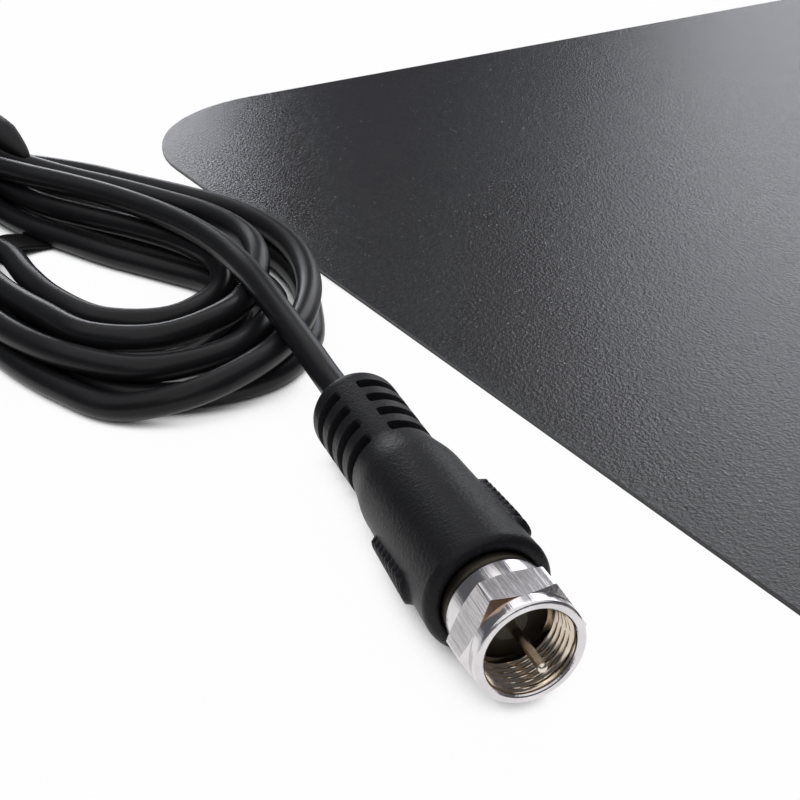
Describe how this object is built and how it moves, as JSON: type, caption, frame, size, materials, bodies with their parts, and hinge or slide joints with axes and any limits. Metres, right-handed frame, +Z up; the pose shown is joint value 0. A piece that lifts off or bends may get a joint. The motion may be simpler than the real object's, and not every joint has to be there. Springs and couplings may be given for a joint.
{
  "type": "indoor tv antenna",
  "caption": "Thin flat indoor television antenna: black laminated sheet with foil elements, small connection box and a tied coaxial lead with a screw-on plug.",
  "frame": {"origin": "middle of the sheet's underside, on the surface that it rests on", "axes": "+X along the sheet's long edge, +Y across the sheet away from the connection box, +Z up through the sheet"},
  "size_m": [0.419, 0.3371, 0.0137],
  "materials": {
    "front_film": "matte fine-grained charcoal film",
    "back_film": "matte black film",
    "foil": "plain foil",
    "box_plastic": "fine-textured moulded black plastic",
    "screw_steel": "zinc-plated steel",
    "rivet_brass": "plain brass",
    "board": "green solder resist",
    "ferrite": "dark grey ferrite",
    "copper": "bare copper wire",
    "tinned_metal": "tinned metal",
    "jacket": "smooth semi-gloss black jacket",
    "insulation": "milky white insulation",
    "grommet_rubber": "soft black rubber",
    "tie_plastic": "black wire tie",
    "boot_plastic": "satin moulded black plastic",
    "nickel": "bright nickel plating with machining lines",
    "pin_metal": "bright plated wire"
  },
  "bodies": {
    "antenna": {"back_sheet": "back_film", "left_element": "foil", "right_element": "foil", "front_sheet": "front_film", "box_base": "box_plastic", "box_cover": "box_plastic", "cover_screws": "screw_steel", "contact_rivets": "rivet_brass", "circuit_board": "board", "balun_core": "ferrite", "balun_winding": "copper", "earth_clamp": "tinned_metal", "lead_end": "jacket", "lead_core": "insulation", "lead_wire": "copper", "lead_grommet": "grommet_rubber", "lead_link": "jacket", "lead_hank": "jacket", "lead_free_end": "jacket", "hank_tie": "tie_plastic", "plug_boot": "boot_plastic", "plug_lead": "jacket", "crimp_sleeve": "tinned_metal", "connector_body": "nickel", "inner_post": "nickel", "plug_insulator": "insulation", "centre_pin": "pin_metal"},
    "nut": {"coupling_nut": "nickel"}
  },
  "joints": [
    {"name": "nut_spin", "type": "hinge", "parent": "antenna", "child": "nut", "pos_m": [-0.1975, -0.06275, 0.0072], "axis": [-0.2027, -0.9787, 0.0314], "continuous": true}
  ]
}
